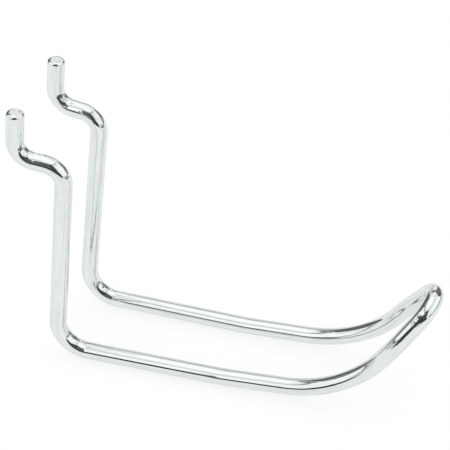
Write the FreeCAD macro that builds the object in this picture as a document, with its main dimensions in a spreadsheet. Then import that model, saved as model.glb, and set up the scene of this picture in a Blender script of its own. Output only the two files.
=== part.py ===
import FreeCAD, Part
import math
import os

import Sketcher

# A double pegboard hook, bent from one length of round steel wire and plated.
# Two pegs turn up behind the board, two shanks pass through its holes, two legs hang down its
# front, and two arms reach out and rise at the front, where one U-turn joins them.
# X points out from the board, Y along the row of holes and Z up. The origin lies on the board's
# front face, midway between the two shanks.

# Driving sizes, in millimetres and degrees: name, value and what it is
SIZES = [
    ("wire_diameter", 4.5, "diameter of the wire"),
    ("peg_spacing", 25.4, "between the two pegs' axes, which is the board's hole pitch"),
    ("peg_length", 13.2, "from a shank's axis up to its peg's cut end"),
    ("shank_length", 12.7, "from a peg's axis to its leg's axis"),
    ("leg_length", 60.1, "from a shank's axis down to the arms' corner"),
    ("leg_spacing", 24.0, "between the legs' axes at the top"),
    ("corner_spacing", 22.6, "between the legs' axes at the bottom"),
    ("arm_length", 46.4, "from the legs' axes out to the lead-in bend"),
    ("arm_angle", 7.0, "slope of the arms next to the legs"),
    ("lead_length", 32.6, "from the lead-in bend to the front bend"),
    ("lead_angle", 10.9, "slope of the arms between those two bends"),
    ("knee_spacing", 20.1, "between the arms' axes at the front bend"),
    ("shoulder_length", 21.0, "from the front bend to the shoulder bend below the U-turn"),
    ("narrowing", 4.7, "how much closer the arms' axes are at the shoulder bend than at the front bend"),
    ("front_length", 28.5, "from the front bend to the centre of the U-turn"),
    ("front_angle", 63.6, "slope of the front"),
    ("turn_radius", 5.5, "axis radius of the U-turn"),
    ("peg_bend", 5.0, "axis radius of the bend from peg to shank"),
    ("leg_bend", 5.0, "axis radius of the bend from shank to leg"),
    ("corner_bend", 8.0, "axis radius of the bend from leg to arm"),
    ("lead_bend", 50.0, "axis radius of the lead-in bend"),
    ("front_bend", 32.5, "axis radius of the front bend"),
    ("shoulder_bend", 32.0, "axis radius of the shoulder bend"),
    ("end_rounding", 0.9, "rounding of the edge of each cut end"),
]


def make_sheet(doc):
    sheet = doc.addObject("Spreadsheet::Sheet", "Sizes")
    for row, (alias, value, meaning) in enumerate(SIZES, 1):
        sheet.set(f"A{row}", alias)
        sheet.set(f"B{row}", str(value))
        sheet.setAlias(f"B{row}", alias)
        sheet.set(f"C{row}", meaning)
    doc.recompute()
    return sheet


def rise(length, degrees):
    # a run of this length that climbs away from the board
    angle = math.radians(degrees)
    return FreeCAD.Vector(length * math.cos(angle), 0, length * math.sin(angle))


def route(sheet):
    # Corner points of one side's axis, from its peg's end to its shoulder bend, on the +Y side
    leg_x = sheet.wire_diameter / 2
    peg_x = leg_x - sheet.shank_length
    corner = FreeCAD.Vector(leg_x, 0, -sheet.leg_length)
    lead = corner + rise(sheet.arm_length, sheet.arm_angle)
    knee = lead + rise(sheet.lead_length, sheet.lead_angle)
    along_arm = sheet.arm_length / (sheet.arm_length + sheet.lead_length)
    lead_spacing = sheet.corner_spacing + (sheet.knee_spacing - sheet.corner_spacing) * along_arm
    shoulder = knee + rise(sheet.shoulder_length, sheet.front_angle)
    shoulder_spacing = sheet.knee_spacing - sheet.narrowing

    points = [
        FreeCAD.Vector(peg_x, sheet.peg_spacing / 2, sheet.peg_length),
        FreeCAD.Vector(peg_x, sheet.peg_spacing / 2, 0),
        FreeCAD.Vector(leg_x, sheet.leg_spacing / 2, 0),
        corner + FreeCAD.Vector(0, sheet.corner_spacing / 2, 0),
        lead + FreeCAD.Vector(0, lead_spacing / 2, 0),
        knee + FreeCAD.Vector(0, sheet.knee_spacing / 2, 0),
        shoulder + FreeCAD.Vector(0, shoulder_spacing / 2, 0),
    ]
    return points, knee


def u_turn(sheet, knee, shoulder):
    # The two last runs leave the shoulder bends and touch the turn's circle as they close in
    forward = rise(1, sheet.front_angle)
    ahead = sheet.front_length - sheet.shoulder_length
    reach = math.hypot(ahead, shoulder.y)
    closing = math.atan2(shoulder.y, ahead) - math.asin(sheet.turn_radius / reach)
    run = math.sqrt(reach ** 2 - sheet.turn_radius ** 2)
    touch = shoulder + forward * (run * math.cos(closing))
    touch.y = shoulder.y - run * math.sin(closing)
    crown = knee + forward * (sheet.front_length + sheet.turn_radius)
    return touch, crown


def other_side(point):
    return FreeCAD.Vector(point.x, -point.y, point.z)


def bend(before, corner, after, radius):
    # The arc that joins two straight runs at their corner and touches both
    come = (corner - before).normalize()
    leave = (after - corner).normalize()
    turn = come.getAngle(leave)
    setback = radius * math.tan(turn / 2)
    inward = (leave - come).normalize()
    middle = corner + inward * (radius / math.cos(turn / 2) - radius)
    return Part.Arc(corner - come * setback, middle, corner + leave * setback)


def rounded_side(points, radii):
    # Straight runs joined by tangent arcs, from the first point to the last
    edges = []
    start = points[0]
    for before, corner, after, radius in zip(points, points[1:], points[2:], radii):
        arc = bend(before, corner, after, radius)
        edges.append(Part.makeLine(start, arc.StartPoint))
        edges.append(arc.toShape())
        start = arc.EndPoint
    edges.append(Part.makeLine(start, points[-1]))
    return edges


def make_axis(doc, sheet):
    # The wire's axis leaves every single plane, so it is set here as one wire of lines and arcs
    points, knee = route(sheet)
    touch, crown = u_turn(sheet, knee, points[-1])
    radii = [sheet.peg_bend, sheet.leg_bend, sheet.corner_bend, sheet.lead_bend, sheet.front_bend,
             sheet.shoulder_bend]
    left = rounded_side(points + [touch], radii)
    right = rounded_side([other_side(point) for point in points + [touch]], radii)
    turn = Part.Arc(touch, crown, other_side(touch)).toShape()
    axis = doc.addObject("Part::Feature", "WireAxis")
    axis.Shape = Part.Wire(left + [turn] + right[::-1])
    axis.Label = "wire_axis"
    return axis


def make_profile(body, sheet):
    # The wire's round section, level with the cut end of the peg on the +Y side
    plane = next(item for item in body.Origin.OriginFeatures if item.Role == "XY_Plane")
    profile = body.newObject("Sketcher::SketchObject", "Section")
    profile.AttachmentSupport = [(plane, "")]
    profile.MapMode = "FlatFace"
    profile.setExpression("AttachmentOffset.Base.x", "Sizes.wire_diameter / 2 - Sizes.shank_length")
    profile.setExpression("AttachmentOffset.Base.y", "Sizes.peg_spacing / 2")
    profile.setExpression("AttachmentOffset.Base.z", "Sizes.peg_length")
    centre = FreeCAD.Vector(0, 0, 0)
    outline = Part.Circle(centre, FreeCAD.Vector(0, 0, 1), sheet.wire_diameter / 2)
    circle = profile.addGeometry(outline, False)
    profile.addConstraint(Sketcher.Constraint("Coincident", circle, 3, -1, 1))
    profile.addConstraint(Sketcher.Constraint("Diameter", circle, sheet.wire_diameter))
    profile.setExpression("Constraints[1]", "Sizes.wire_diameter")
    return profile


def end_rims(pipe, sheet):
    # The rims of the two cut ends: the edges that lie flat at the pegs' full height
    flat = 0.001
    rims = []
    for number, edge in enumerate(pipe.Shape.Edges, 1):
        box = edge.BoundBox
        if abs(box.ZMin - sheet.peg_length) < flat and abs(box.ZMax - sheet.peg_length) < flat:
            rims.append(f"Edge{number}")
    return rims


def make_hook(doc, sheet, axis):
    body = doc.addObject("PartDesign::Body", "HookWire")
    body.Label = "hook_wire"
    spine = body.newObject("PartDesign::SubShapeBinder", "Spine")
    spine.Support = [(axis, ("",))]
    profile = make_profile(body, sheet)
    doc.recompute()

    pipe = body.newObject("PartDesign::AdditivePipe", "BentWire")
    pipe.Profile = profile
    pipe.Spine = (spine, [f"Edge{number}" for number in range(1, len(axis.Shape.Edges) + 1)])
    pipe.Mode = "Frenet"
    pipe.Transition = "Transformed"
    doc.recompute()

    rounding = body.newObject("PartDesign::Fillet", "CutEnds")
    rounding.Base = (pipe, end_rims(pipe, sheet))
    rounding.setExpression("Radius", "Sizes.end_rounding")
    doc.recompute()
    return body


def check(doc, parts):
    for item in doc.Objects:
        if "Invalid" in item.State or "Error" in item.State:
            raise RuntimeError(f"{item.Label} did not compute: {item.State}")
    for part in parts:
        if part.Shape.isNull() or not part.Shape.isValid():
            raise RuntimeError(f"{part.Label} has no valid shape")


def main():
    doc = FreeCAD.newDocument("PegboardHook")
    sheet = make_sheet(doc)
    axis = make_axis(doc, sheet)
    hook = make_hook(doc, sheet, axis)
    check(doc, [hook])

    section = math.pi * sheet.wire_diameter ** 2 / 4
    print(f"wire length {axis.Shape.Length:.2f} mm")
    print(f"section times length {section * axis.Shape.Length:.1f} mm3, solid {hook.Shape.Volume:.1f} mm3")

    os.makedirs("parts", exist_ok=True)
    hook.Shape.exportStep(f"parts/{hook.Label}.step")


main()
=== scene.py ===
import math
from collections import namedtuple

import bpy
import numpy as np
from mathutils import Matrix, Vector, noise


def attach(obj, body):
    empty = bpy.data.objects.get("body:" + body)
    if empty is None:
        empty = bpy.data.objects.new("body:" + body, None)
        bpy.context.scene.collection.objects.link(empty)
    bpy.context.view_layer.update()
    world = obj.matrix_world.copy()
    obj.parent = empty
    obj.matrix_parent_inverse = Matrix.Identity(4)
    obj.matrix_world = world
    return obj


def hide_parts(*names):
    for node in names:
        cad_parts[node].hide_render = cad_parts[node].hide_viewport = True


# A double pegboard hook of plated steel wire, standing on its two arms on a pale floor.
# All lengths are in metres. X points out from the board, Y along the row of holes and Z up, with
# the origin on the board's front face, midway between the two shanks.

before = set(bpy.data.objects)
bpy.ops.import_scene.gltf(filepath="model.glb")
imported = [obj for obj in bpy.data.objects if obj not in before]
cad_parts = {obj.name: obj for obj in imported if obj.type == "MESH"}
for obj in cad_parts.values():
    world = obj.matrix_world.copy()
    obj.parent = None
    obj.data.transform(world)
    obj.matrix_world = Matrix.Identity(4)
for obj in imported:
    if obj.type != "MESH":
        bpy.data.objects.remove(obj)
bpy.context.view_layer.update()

MM = 0.001

# The wire's route, with the sizes of the source part
WIRE_RADIUS = 2.25 * MM
PEG_SPACING = 25.4 * MM
PEG_LENGTH = 13.2 * MM
SHANK_LENGTH = 12.7 * MM
LEG_LENGTH = 60.1 * MM
LEG_SPACING = 24.0 * MM
CORNER_SPACING = 22.6 * MM
ARM_LENGTH, ARM_ANGLE = 46.4 * MM, 7.0
LEAD_LENGTH, LEAD_ANGLE = 32.6 * MM, 10.9
KNEE_SPACING = 20.1 * MM
SHOULDER_LENGTH, NARROWING = 21.0 * MM, 4.7 * MM
FRONT_LENGTH, FRONT_ANGLE = 28.5 * MM, 63.6
TURN_RADIUS = 5.5 * MM
PEG_BEND = LEG_BEND = 5.0 * MM
CORNER_BEND = 8.0 * MM
LEAD_BEND = 50.0 * MM
FRONT_BEND = 32.5 * MM
SHOULDER_BEND = 32.0 * MM
END_ROUNDING = 0.9 * MM

# How finely the wire is meshed, and how far its skin lies inside the solid
RING_STEP = 0.5 * MM
TIGHT_STEP = 0.3 * MM
TIGHT_RADIUS = 10 * MM
SIDES = 64
ANGLES = np.arange(SIDES) * 2 * math.pi / SIDES
INSET = 0.01 * MM

# The rings of a cut end: on its flat face, as shares of its radius, and round its rim
FACE_RADIUS = WIRE_RADIUS - END_ROUNDING - INSET
FACE_SHARES = (0.15, 0.3, 0.45, 0.6, 0.75, 0.9)
RIM_STEPS = 8
RAW_RIM_STEPS = 4
CAP_LENGTH = 1.05 * END_ROUNDING

# How far the surface departs from a true round wire
FLATTENING = 0.05 * MM
RIPPLE = 0.02 * MM
MARK_DEPTH = 0.05 * MM
LEAST_DEPTH = 0.0005 * MM
CUT_DEPTH = 0.04 * MM
CENTRE_DEPTH = 0.02 * MM
BEND_BLUR = 1.5 * MM
INSIDE_FOCUS = 3

# The grain of that unevenness: round and along the wire, on the cut faces, and of their nicks
RIPPLE_ROUND, RIPPLE_ALONG, RIPPLE_GRAIN = 2.2, 1.3, 1.2
CUT_GRAIN = 1.4
NICK_GRAIN, NICK_SHIFT = 2.3, Vector((7.0, 0.0, 0.0))
NICK_GAIN, NICK_LOSS, RIM_FOCUS = 2.5, 0.3, 3

# Marks: on the insides of the bends, dents that the bending left with dark specks painted in as
# shade, a dark reflection, and at the tip a worn scuff: distance from the cut end in millimetres,
# side, outward direction, reach along the wire in millimetres, reach round it as a share of the
# wire's radius, and how dark
WEAR_AND_SHADE_MARKS = [
    (9.9, -1, (0.75, -0.60, 0.30), 1.2, 0.35, 0.9),
    (12.4, -1, (0.68, -0.10, 0.72), 2.0, 0.50, 0.5),
    (78.0, -1, (0.78, 0.05, 0.62), 0.9, 0.30, 0.7),
    (80.7, -1, (0.52, 0.31, 0.80), 0.6, 0.22, 0.8),
    (184.7, -1, (-0.24, -0.84, 0.49), 2.1, 0.48, 0.72),
    (10.7, 1, (0.60, -0.72, 0.36), 1.1, 0.35, 1.0),
    (12.4, 1, (0.58, -0.45, 0.68), 1.6, 0.50, 0.5),
    (78.2, 1, (0.62, -0.55, 0.55), 0.8, 0.30, 0.6),
    (80.2, 1, (0.56, -0.30, 0.77), 0.6, 0.22, 0.7),
]

# A mark ends at this many times its reach along the wire
MARK_CUTOFF = 2.5

# The grain of the plating: grains per metre across and along the wire, and levels of detail
STREAK_GRAIN = (1500, 1500, 25), 3.0
PATCH_GRAIN = (1300, 1300, 180), 3.0
MOTTLE_GRAIN = (1800, 1800, 1800), 2.0
SCRATCH_GRAIN = (4500, 4500, 60), 2.0

# Colours of the plating where it is dull, where it is clear, in its dark specks, and at its
# edges, and the range of the streaks, with the patches added, over which dull turns to clear
DULL = (0.69, 0.735, 0.71, 1)
CLEAR = (0.82, 0.855, 0.835, 1)
# The dark specks' colour: worn plating at the tip and the cut nicks, painted shade (a dark
# reflection) at the bends
WEAR_AND_SHADE_COLOUR = (0.105, 0.098, 0.072, 1)
EDGE = (0.88, 0.89, 0.885, 1)
PATCH_SHARE = 0.6
STREAK_RANGE = (0.6, 1.0)

# Where the dark specks go: how a mark adds to the mottling, the range over which that turns to
# dark, and how fast the specks set in at a mark's border; at the bends they are painted shade
MARK_SHARE = 0.45
WEAR_AND_SHADE_RANGE = (0.66, 0.80)
BORDER_GAIN = 3.0

# How rough the plating is over its mottling, and what the cuts and the wear add
MOTTLE_RANGE = (0.3, 0.7)
ROUGHNESS = (0.05, 0.09)
CUT_ROUGHNESS = 0.10
WEAR_AND_SHADE_ROUGHNESS = 0.25

# The relief of the streaks with the scratches, and of the grit on the cuts and elsewhere
RELIEF = 0.02 * MM
SCRATCH_SHARE = 0.35
STREAK_STRENGTH, GRIT_STRENGTH = 0.45, 0.3
CUT_GRIT, SIDE_GRIT = 6.0, 0.3

# The white room and its floor: what the object gets, and what the background adds to be white
WHITE = (1, 1, 1, 1)
ROOM_LIGHT, ROOM_LIFT = 0.85, 0.15
FLOOR_GREY, FLOOR_LIFT = (0.4, 0.4, 0.4, 1), 0.675
FLOOR_HALF = 1.5
STEEPEST_FLOOR = math.radians(20)
TILT_HALVINGS = 40
ARMS_MIDDLE = 40 * MM

# Studio cards round the hook's middle, which only reflections see: name, azimuth and elevation
# ranges in degrees on the level floor, distance and brightness
MIDDLE = Vector((0.045, 0.0, -0.03))
CARDS = [
    ("card_horizon_camera_side", -122, -44, -8, 15, 0.48, 0.05),
    ("card_camera_side", -103.5, -48, 5, 54, 3.0, 0.08),
    ("card_streak_low", -103.5, -78, 20, 24, 2.95, 0.32),
    ("card_streak_high", -103.5, -70, 40, 45, 2.95, 0.36),
    ("card_horizon_front", -48, 72, -1, 3, 2.0, 0.35),
    ("card_front_seam", -48, 32, 56, 60, 2.0, 0.5),
    ("card_front_softbox", -30, 38, 8, 50, 2.5, 1.16),
    ("card_front_dark", 45, 80, -10, 35, 0.60, 0.20),
    ("card_far_low", 80, 120, -10, 14, 0.60, 0.85),
    ("card_far_wall", 97, 122, 14, 38, 0.20, 0.58),
    ("card_board_side_dark", 126, 178, -8, 44, 0.60, 0.15),
    ("card_board_side_line", -180, -122, 8.8, 11, 0.60, 0.10),
    ("card_board_side_low", -180, -122, 2, 8.8, 0.60, 0.70),
    ("card_softbox_left", -180, -103.5, 11, 56, 3.0, 1.16),
    ("card_left_seam", -130, -103.5, 51, 61, 2.8, 0.72),
    ("card_edge_board", -180, -130, 52, 58, 2.8, 0.35),
    ("card_edge_far", 135, 180, 46, 56, 0.60, 0.25),
    ("card_over_far", 105, 160, 56, 67, 0.60, 1.28),
    ("card_softbox_over", -180, 180, 67, 90, 0.60, 1.28),
]

# Small cards round the tip of the hook, in the same terms
TIP = Vector((0.093, -0.003, -0.024))
TIP_CARDS = [
    ("card_tip_softbox", -58, -47, 8, 50, 0.14, 1.0),
    ("card_tip_dark", 42, 60, 12, 40, 0.14, 0.12),
    ("card_tip_line", -40, 50, 0, 8, 0.14, 0.12),
    ("card_tip_seam", 60, 118, 33, 44, 0.14, 0.22),
]

# How far apart the points of a card are, in degrees
CARD_STEP = 6

# The photograph's viewing angle, fitted on the outline of the bent wire
CAMERA_PLACE = Vector((0.09820, -0.26608, 0.20893))
CAMERA_FORWARD = Vector((-0.162936, 0.757234, -0.632493))
CAMERA_DOWN = Vector((0.267697, -0.583083, -0.767041))
CAMERA_SENSOR, CAMERA_LENS = 36, 112.64
CAMERA_NEAR, CAMERA_FAR = 0.01, 10

# A straight run or an arc of the wire's axis; the radius of a straight run is infinite
Piece = namedtuple("Piece", "start along inward radius length")

# A place on the axis: the angles round it count from across, and way is its distance from the
# wire's first end
Station = namedtuple("Station", "place heading across inward curvature way")


def unit(vector):
    return vector / np.linalg.norm(vector)


def rise(length, degrees):
    # A run of this length that climbs away from the board
    angle = math.radians(degrees)
    return np.array([length * math.cos(angle), 0.0, length * math.sin(angle)])


def turned(vector, axis, angle):
    # A direction turned about an axis
    c, s = math.cos(angle), math.sin(angle)
    return vector * c + np.cross(axis, vector) * s + axis * (axis @ vector) * (1 - c)


def u_turn_start(shoulder):
    # Where the last run, which leaves the shoulder bend, touches the U-turn's circle
    ahead = FRONT_LENGTH - SHOULDER_LENGTH
    reach = math.hypot(ahead, shoulder[1])
    closing = math.atan2(shoulder[1], ahead) - math.asin(TURN_RADIUS / reach)
    run = math.sqrt(reach ** 2 - TURN_RADIUS ** 2)
    touch = shoulder + rise(1.0, FRONT_ANGLE) * run * math.cos(closing)
    touch[1] = shoulder[1] - run * math.sin(closing)
    return touch


def route():
    # Corner points and bend radii of the side at +Y, from its peg's end to the U-turn's start
    leg_x = WIRE_RADIUS
    peg_x = leg_x - SHANK_LENGTH
    corner = np.array([leg_x, 0.0, -LEG_LENGTH])
    lead = corner + rise(ARM_LENGTH, ARM_ANGLE)
    knee = lead + rise(LEAD_LENGTH, LEAD_ANGLE)
    along = ARM_LENGTH / (ARM_LENGTH + LEAD_LENGTH)
    lead_spacing = CORNER_SPACING + (KNEE_SPACING - CORNER_SPACING) * along
    shoulder = knee + rise(1.0, FRONT_ANGLE) * SHOULDER_LENGTH
    shoulder[1] = (KNEE_SPACING - NARROWING) / 2

    sideways = np.array([0.0, 0.5, 0.0])
    points = [
        np.array([peg_x, PEG_SPACING / 2, PEG_LENGTH]),
        np.array([peg_x, PEG_SPACING / 2, 0.0]),
        np.array([leg_x, LEG_SPACING / 2, 0.0]),
        corner + CORNER_SPACING * sideways,
        lead + lead_spacing * sideways,
        knee + KNEE_SPACING * sideways,
        shoulder,
        u_turn_start(shoulder),
    ]
    return points, [PEG_BEND, LEG_BEND, CORNER_BEND, LEAD_BEND, FRONT_BEND, SHOULDER_BEND]


def one_side(points, radii):
    # Straight runs joined by tangent arcs
    pieces = []
    start = points[0]
    for before, corner, after, radius in zip(points, points[1:], points[2:], radii):
        come, leave = unit(corner - before), unit(after - corner)
        turn = math.acos(float(np.clip(come @ leave, -1, 1)))
        setback = radius * math.tan(turn / 2)
        begin = corner - come * setback
        inward = unit(leave - come * (come @ leave))
        pieces.append(Piece(start, come, inward, math.inf, np.linalg.norm(begin - start)))
        pieces.append(Piece(begin, come, inward, radius, radius * turn))
        start = corner + leave * setback
    last = points[-1] - start
    pieces.append(Piece(start, unit(last), inward, math.inf, np.linalg.norm(last)))
    return pieces


def on_piece(piece, part):
    # Place, heading and inward direction at this distance along a piece
    start, along, inward, radius, _ = piece
    if radius == math.inf:
        return start + along * part, along, inward
    c, s = math.cos(part / radius), math.sin(part / radius)
    place = start + radius * (along * s + inward * (1 - c))
    return place, along * c + inward * s, inward * c - along * s


def other_side(pieces):
    # The same pieces mirrored to -Y and walked the other way
    flip = np.array([1.0, -1.0, 1.0])
    mirrored = []
    for piece in reversed(pieces):
        end, heading, inward = on_piece(piece, piece.length)
        mirrored.append(Piece(end * flip, -heading * flip, inward * flip, piece.radius,
                              piece.length))
    return mirrored


def whole_wire():
    # One side, the U-turn that starts where it ends, and the other side
    left = one_side(*route())
    touch, heading, _ = on_piece(left[-1], left[-1].length)
    sideways = np.array([0.0, -1.0, 0.0])
    across = float(heading @ sideways)
    inward = unit(sideways - heading * across)
    length = TURN_RADIUS * 2 * math.acos(across)
    return left + [Piece(touch, heading, inward, TURN_RADIUS, length)] + other_side(left)


def walk(pieces):
    # Stations along the whole wire, closer together in the tight bends
    stations = []
    across = np.array([1.0, 0.0, 0.0])
    way = 0.0
    for piece in pieces:
        gap = TIGHT_STEP if piece.radius < TIGHT_RADIUS else RING_STEP
        steps = max(1, math.ceil(piece.length / gap))
        axis = np.cross(piece.along, piece.inward)
        for step in range(steps):
            part = piece.length * step / steps
            place, heading, inward = on_piece(piece, part)
            aside = turned(across, axis, part / piece.radius)
            stations.append(Station(place, heading, aside, inward, 1 / piece.radius, way + part))
        across = turned(across, axis, piece.length / piece.radius)
        way += piece.length
    end, heading, inward = on_piece(pieces[-1], pieces[-1].length)
    stations.append(Station(end, heading, across, inward, 0.0, way))
    return stations


def bend_tightness(stations):
    # The curvature blurred a little along the wire, 1 in the tightest bends
    ways = np.array([station.way for station in stations])
    even = np.arange(0, ways[-1], TIGHT_STEP)
    curvature = np.interp(even, ways, [station.curvature for station in stations])
    kernel = np.hanning(2 * int(BEND_BLUR / TIGHT_STEP) + 3)
    smooth = np.convolve(curvature, kernel / kernel.sum(), mode="same") * LEG_BEND
    return np.interp(ways, even, smooth)


def shade_and_wear_strength(stations):
    # How strongly each point of each ring is marked, from 0 to 1: painted shade at the bends,
    # wear at the tip
    total = stations[-1].way
    strength = np.zeros((len(stations), SIDES))
    for i, station in enumerate(stations):
        side = 1 if station.place[1] > 0 else -1
        from_end = min(station.way, total - station.way) / MM
        other = np.cross(station.heading, station.across)
        facing = np.outer(np.cos(ANGLES), station.across) + np.outer(np.sin(ANGLES), other)
        for mark_way, mark_side, direction, along, around, dark in WEAR_AND_SHADE_MARKS:
            if side != mark_side or abs(from_end - mark_way) > MARK_CUTOFF * along:
                continue
            off = np.linalg.norm(facing - unit(np.array(direction)), axis=1) / around
            fall = np.exp(-off ** 2 - ((from_end - mark_way) / along) ** 2)
            strength[i] = np.maximum(strength[i], dark * fall)
    return strength


def uneven(point):
    # Smooth noise about 0.5, within 0 and 1
    return 0.5 + 0.5 * noise.noise(point)


def dents(stations, marked):
    # How far the surface lies inside a true round wire, for each point of each ring
    bend = bend_tightness(stations)
    depth = np.zeros((len(stations), SIDES))
    for i, station in enumerate(stations):
        other = np.cross(station.heading, station.across)
        inner = (np.cos(ANGLES) * (station.across @ station.inward)
                 + np.sin(ANGLES) * (other @ station.inward))
        inner = np.clip(inner, 0, 1) ** INSIDE_FOCUS
        depth[i] = FLATTENING * inner * bend[i]
        rough = RIPPLE * inner * bend[i] + MARK_DEPTH * marked[i]
        for j in np.flatnonzero(rough > LEAST_DEPTH):
            spot = Vector((math.cos(ANGLES[j]) * RIPPLE_ROUND, math.sin(ANGLES[j]) * RIPPLE_ROUND,
                           station.way / MM * RIPPLE_ALONG))
            depth[i, j] += rough[j] * uneven(spot * RIPPLE_GRAIN)
    return depth


def cap_outline():
    # Radius, depth below the cut face and how raw the cut is, from an end's centre to its side
    outline = [(FACE_RADIUS * share, 0.0, 1.0) for share in FACE_SHARES]
    for step in range(RIM_STEPS + 1):
        angle = math.pi / 2 * step / RIM_STEPS
        outline.append((FACE_RADIUS + END_ROUNDING * math.sin(angle),
                        END_ROUNDING * (1 - math.cos(angle)),
                        max(0.0, 1 - step / RAW_RIM_STEPS)))
    return outline


class Skin:
    # The wire's surface, and what its material reads at each point: the same place on a straight
    # wire, how raw the cut is, and how marked it is
    def __init__(self):
        self.points = []
        self.straight = []
        self.cut = []
        self.shade_and_wear = []

    def point(self, place, straight, cut, shade_and_wear):
        # Adds one point and returns its number
        self.points.append(place)
        self.straight.append(straight)
        self.cut.append(cut)
        self.shade_and_wear.append(shade_and_wear)
        return len(self.points) - 1

    def ring(self, station, centre, way, radii, cut, shade_and_wear):
        # Adds a ring that faces as its station does and returns its first point's number
        other = np.cross(station.heading, station.across)
        for angle, radius, mark in zip(ANGLES, radii, shade_and_wear):
            c, s = math.cos(angle), math.sin(angle)
            place = centre + (station.across * c + other * s) * radius
            self.point(place, (radius * c, radius * s, way), cut, mark)
        return len(self.points) - SIDES

    def cap(self, station, side):
        # Adds a cut end's rings, from its centre to its side, and returns their first points
        outward = station.heading * side
        unmarked = np.zeros(SIDES)
        firsts = []
        for radius, below, raw in cap_outline():
            centre = station.place - outward * (below + INSET)
            first = self.ring(station, centre, station.way - side * below,
                              np.full(SIDES, radius), raw, unmarked)
            self.roughen(first, outward, radius, raw)
            firsts.append(first)
        return firsts

    def roughen(self, first, outward, radius, raw):
        # Shallow dips in a cut end's ring, and nicks where the cut left a burr, mostly at its rim
        near_rim = min(1.0, radius / FACE_RADIUS) ** RIM_FOCUS * raw
        for index in range(first, first + SIDES):
            spot = Vector(self.points[index] / MM)
            dip = CUT_DEPTH * raw * uneven(spot * CUT_GRAIN)
            self.points[index] = self.points[index] - outward * dip
            nick = NICK_GAIN * noise.noise(spot * NICK_GRAIN + NICK_SHIFT) - NICK_LOSS
            self.shade_and_wear[index] = near_rim * min(1.0, max(0.0, nick))

    def centre(self, station, side):
        # Adds the middle point of a cut end and returns its number
        place = station.place - station.heading * side * CENTRE_DEPTH
        return self.point(place, (0.0, 0.0, station.way), 1.0, 0.0)

    def mesh(self, name, faces):
        mesh = bpy.data.meshes.new(name)
        mesh.from_pydata([tuple(place) for place in self.points], [], faces)
        mesh.update()
        mesh.polygons.foreach_set("use_smooth", [True] * len(mesh.polygons))
        layer = mesh.attributes.new("straight", "FLOAT_VECTOR", "POINT")
        layer.data.foreach_set("vector", np.array(self.straight, dtype=np.float32).ravel())
        for attribute, values in (("cut", self.cut), ("shade_and_wear", self.shade_and_wear)):
            layer = mesh.attributes.new(attribute, "FLOAT", "POINT")
            layer.data.foreach_set("value", np.array(values, dtype=np.float32))
        return mesh


def tube_faces(firsts, start_centre, end_centre):
    # Squares between neighbouring rings, and triangles that close the two ends
    faces = []
    for low, high in zip(firsts, firsts[1:]):
        for j in range(SIDES):
            k = (j + 1) % SIDES
            faces.append((low + j, low + k, high + k, high + j))
    for j in range(SIDES):
        k = (j + 1) % SIDES
        faces.append((start_centre, firsts[0] + k, firsts[0] + j))
        faces.append((end_centre, firsts[-1] + j, firsts[-1] + k))
    return faces


def wire_mesh():
    # The swept tube with rounded ends and a slightly uneven cut face on each
    stations = walk(whole_wire())
    first, last = stations[0], stations[-1]
    marked = shade_and_wear_strength(stations)
    depth = dents(stations, marked)

    skin = Skin()
    firsts = skin.cap(first, -1.0)
    for station, inside, marks in zip(stations, depth, marked):
        if CAP_LENGTH < station.way < last.way - CAP_LENGTH:
            radii = WIRE_RADIUS - INSET - inside
            firsts.append(skin.ring(station, station.place, station.way, radii, 0.0, marks))
    firsts += skin.cap(last, 1.0)[::-1]
    centres = skin.centre(first, -1.0), skin.centre(last, 1.0)
    return skin.mesh("hook_wire_plated", tube_faces(firsts, *centres))


def add_object(name, data):
    made = bpy.data.objects.new(name, data)
    bpy.context.scene.collection.objects.link(made)
    return made


class Nodes:
    # A short way to add and link shader nodes
    def __init__(self, tree):
        self.tree = tree
        tree.nodes.clear()

    def add(self, kind, inputs=None, **settings):
        # A new node, each of its inputs linked to a socket or set to a value
        node = self.tree.nodes.new(kind)
        for key, value in settings.items():
            setattr(node, key, value)
        for socket, value in (inputs or {}).items():
            if isinstance(value, bpy.types.NodeSocket):
                self.tree.links.new(value, node.inputs[socket])
            else:
                node.inputs[socket].default_value = value
        return node

    def math(self, operation, *values):
        return self.add("ShaderNodeMath", dict(enumerate(values)), operation=operation).outputs[0]

    def attribute(self, name, output="Fac"):
        return self.add("ShaderNodeAttribute", attribute_name=name).outputs[output]

    def grain(self, place, grain):
        # Noise at a place, of this many grains per metre and levels of detail
        scale, detail = grain
        mapped = self.add("ShaderNodeMapping", {"Vector": place, "Scale": scale})
        inputs = {"Vector": mapped.outputs[0], "Scale": 1.0, "Detail": detail}
        return self.add("ShaderNodeTexNoise", inputs).outputs["Fac"]

    def remap(self, value, given, wanted=(0.0, 1.0)):
        # A value's given range stretched to the wanted one
        inputs = {"Value": value, "From Min": given[0], "From Max": given[1],
                  "To Min": wanted[0], "To Max": wanted[1]}
        return self.add("ShaderNodeMapRange", inputs).outputs[0]

    def mix(self, factor, first, second):
        inputs = {"Factor": factor, "A": first, "B": second}
        return self.add("ShaderNodeMix", inputs, data_type="RGBA").outputs["Result"]

    def bump(self, strength, height, under=None):
        # Relief of this height, over that of another bump where one is given
        inputs = {"Strength": strength, "Distance": RELIEF, "Height": height}
        if under is not None:
            inputs["Normal"] = under
        return self.add("ShaderNodeBump", inputs).outputs[0]

    def glow(self, colour, strength):
        return self.add("ShaderNodeEmission", {"Color": colour, "Strength": strength}).outputs[0]

    def surface(self, shader):
        self.add("ShaderNodeOutputMaterial", {"Surface": shader})


def new_material(name):
    material = bpy.data.materials.new(name)
    material.use_nodes = True
    return material, Nodes(material.node_tree)


def streaked_colour(n, straight, streaks):
    # The drawing streaks broken up by shorter patches
    patches = n.grain(straight, PATCH_GRAIN)
    both = n.math("MULTIPLY_ADD", patches, PATCH_SHARE, streaks)
    return n.mix(n.remap(both, STREAK_RANGE), DULL, CLEAR)


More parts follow.
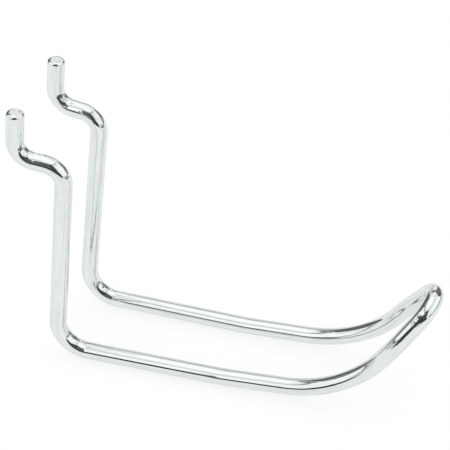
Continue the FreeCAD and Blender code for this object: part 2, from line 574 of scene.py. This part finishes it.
# Dark specks that crowd in the marks: wear at the tip and the nicks, painted shade at the bends
def wear_and_shade_share(n, shade_and_wear, mottle):
    # Specks of worn plating, which crowd together in the marks
    specks = n.remap(n.math("MULTIPLY_ADD", shade_and_wear, MARK_SHARE, mottle), WEAR_AND_SHADE_RANGE)
    marked = n.math("MINIMUM", n.math("MULTIPLY", shade_and_wear, BORDER_GAIN), 1.0)
    return n.math("MULTIPLY", specks, marked)


def wire_roughness(n, mottle, cut, wear_and_shade_mask):
    # Nearly a mirror, rougher on the cut faces and in the dark specks
    rough = n.remap(mottle, MOTTLE_RANGE, ROUGHNESS)
    rough_cut = n.math("MULTIPLY_ADD", cut, CUT_ROUGHNESS, rough)
    return n.math("MULTIPLY_ADD", wear_and_shade_mask, WEAR_AND_SHADE_ROUGHNESS, rough_cut)


def wire_relief(n, straight, streaks, mottle, cut):
    # Drawing streaks and thin scratches, with a fine grit over them that is strongest on the cuts
    scratches = n.grain(straight, SCRATCH_GRAIN)
    drawn = n.math("MULTIPLY_ADD", scratches, SCRATCH_SHARE, streaks)
    grit = n.math("MULTIPLY", mottle, n.math("MULTIPLY_ADD", cut, CUT_GRIT, SIDE_GRIT))
    return n.bump(GRIT_STRENGTH, grit, under=n.bump(STREAK_STRENGTH, drawn))


def plated_wire():
    # Bright plating over drawn wire: streaks, mottling, wear and painted shade in marks, rough
    # cuts
    material, n = new_material("plated_wire")
    straight = n.attribute("straight", "Vector")
    cut = n.attribute("cut")
    shade_and_wear = n.attribute("shade_and_wear")
    streaks = n.grain(straight, STREAK_GRAIN)
    mottle = n.grain(straight, MOTTLE_GRAIN)
    wear_and_shade_mask = wear_and_shade_share(n, shade_and_wear, mottle)
    shader = n.add("ShaderNodeBsdfPrincipled", {
        # The colour darkens in the marks: wear at the tip and the nicks, painted shade at the
        # bends
        "Base Color": n.mix(wear_and_shade_mask, streaked_colour(n, straight, streaks), WEAR_AND_SHADE_COLOUR),
        "Specular Tint": EDGE,
        "Metallic": 1.0,
        "Roughness": wire_roughness(n, mottle, cut, wear_and_shade_mask),
        "Normal": wire_relief(n, straight, streaks, mottle, cut),
    })
    n.surface(shader.outputs[0])
    return material


def make_wire():
    piece = add_object("hook_wire_plated", wire_mesh())
    piece.data.materials.append(plated_wire())
    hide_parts("hook_wire")
    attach(piece, "root")
    return piece


def floor_tilt(piece):
    # The slope at which both corner bends and both front bends touch the floor, and its height
    points = np.empty(len(piece.data.vertices) * 3)
    piece.data.vertices.foreach_get("co", points)
    points = points.reshape(-1, 3)
    board_side = points[:, 0] < ARMS_MIDDLE
    low, high = 0.0, STEEPEST_FLOOR
    for _ in range(TILT_HALVINGS):
        angle = (low + high) / 2
        height = points[:, 2] * math.cos(angle) - points[:, 0] * math.sin(angle)
        if height[board_side].min() < height[~board_side].min():
            low = angle
        else:
            high = angle
    return angle, float(height.min())


def level_point(tilt, x, y, z):
    # From the floor's own level axes to the part's frame
    c, s = math.cos(tilt), math.sin(tilt)
    return Vector((x * c - z * s, y, x * s + z * c))


def background_share(n):
    # 1 for the rays that see the background: straight, in a reflection or through glass
    path = n.add("ShaderNodeLightPath")
    seen = n.math("MAXIMUM", path.outputs["Is Camera Ray"], path.outputs["Is Glossy Ray"])
    return n.math("MAXIMUM", seen, path.outputs["Is Transmission Ray"])


def make_world():
    world = bpy.data.worlds.new("studio")
    bpy.context.scene.world = world
    world.use_nodes = True
    n = Nodes(world.node_tree)
    strength = n.math("MULTIPLY_ADD", background_share(n), ROOM_LIFT, ROOM_LIGHT)
    white = n.add("ShaderNodeBackground", {"Color": WHITE, "Strength": strength})
    n.add("ShaderNodeOutputWorld", {"Surface": white.outputs[0]})


def floor_material():
    # Pale and matt, lifted to white beside the shadow for background rays, and clear from below
    material, n = new_material("floor_white")
    matt = n.add("ShaderNodeBsdfDiffuse", {"Color": FLOOR_GREY}).outputs[0]
    lift = n.glow(WHITE, n.math("MULTIPLY", background_share(n), FLOOR_LIFT))
    pale = n.add("ShaderNodeAddShader", {0: matt, 1: lift}).outputs[0]
    clear = n.add("ShaderNodeBsdfTransparent").outputs[0]
    below = n.add("ShaderNodeNewGeometry").outputs["Backfacing"]
    n.surface(n.add("ShaderNodeMixShader", {0: below, 1: pale, 2: clear}).outputs[0])
    return material


def make_floor(tilt, height):
    corners = [(-FLOOR_HALF, -FLOOR_HALF), (FLOOR_HALF, -FLOOR_HALF),
               (FLOOR_HALF, FLOOR_HALF), (-FLOOR_HALF, FLOOR_HALF)]
    mesh = bpy.data.meshes.new("floor")
    mesh.from_pydata([tuple(level_point(tilt, x, y, height)) for x, y in corners], [],
                     [(0, 1, 2, 3)])
    mesh.materials.append(floor_material())
    add_object("floor", mesh)


def card_material(level):
    material, n = new_material(f"card_{round(level * 100)}")
    n.surface(n.glow((level, level, level, 1), 1.0))
    return material


def make_card(name, tilt, centre, az0, az1, el0, el1, distance, level):
    # A curved sheet that covers these angles as seen from its centre
    columns = max(2, round((az1 - az0) / CARD_STEP))
    rows = max(2, round((el1 - el0) / CARD_STEP))
    vertices, faces = [], []
    for i in range(rows + 1):
        el = math.radians(el0 + (el1 - el0) * i / rows)
        for j in range(columns + 1):
            az = math.radians(az0 + (az1 - az0) * j / columns)
            offset = level_point(tilt, distance * math.cos(el) * math.cos(az),
                                 distance * math.cos(el) * math.sin(az), distance * math.sin(el))
            vertices.append(tuple(centre + offset))
    for i in range(rows):
        for j in range(columns):
            a = i * (columns + 1) + j
            faces.append((a, a + 1, a + columns + 2, a + columns + 1))
    mesh = bpy.data.meshes.new(name)
    mesh.from_pydata(vertices, [], faces)
    mesh.materials.append(card_material(level))
    card = add_object(name, mesh)
    card.visible_camera = False
    card.visible_diffuse = False
    card.visible_shadow = False


def make_camera():
    forward = CAMERA_FORWARD.normalized()
    down = (CAMERA_DOWN - forward * CAMERA_DOWN.dot(forward)).normalized()
    right = down.cross(forward)
    camera = bpy.data.cameras.new("camera")
    camera.sensor_width = CAMERA_SENSOR
    camera.lens = CAMERA_LENS
    camera.clip_start = CAMERA_NEAR
    camera.clip_end = CAMERA_FAR
    made = add_object("camera", camera)
    facing = Matrix((right, -down, -forward)).transposed()
    made.matrix_world = Matrix.Translation(CAMERA_PLACE) @ facing.to_4x4()
    bpy.context.scene.camera = made


wire = make_wire()
tilt, lowest = floor_tilt(wire)
make_world()
make_floor(tilt, lowest)
for centre, cards in ((MIDDLE, CARDS), (TIP, TIP_CARDS)):
    for name, *card in cards:
        make_card(name, tilt, centre, *card)
make_camera()
bpy.context.scene.view_settings.view_transform = "Standard"
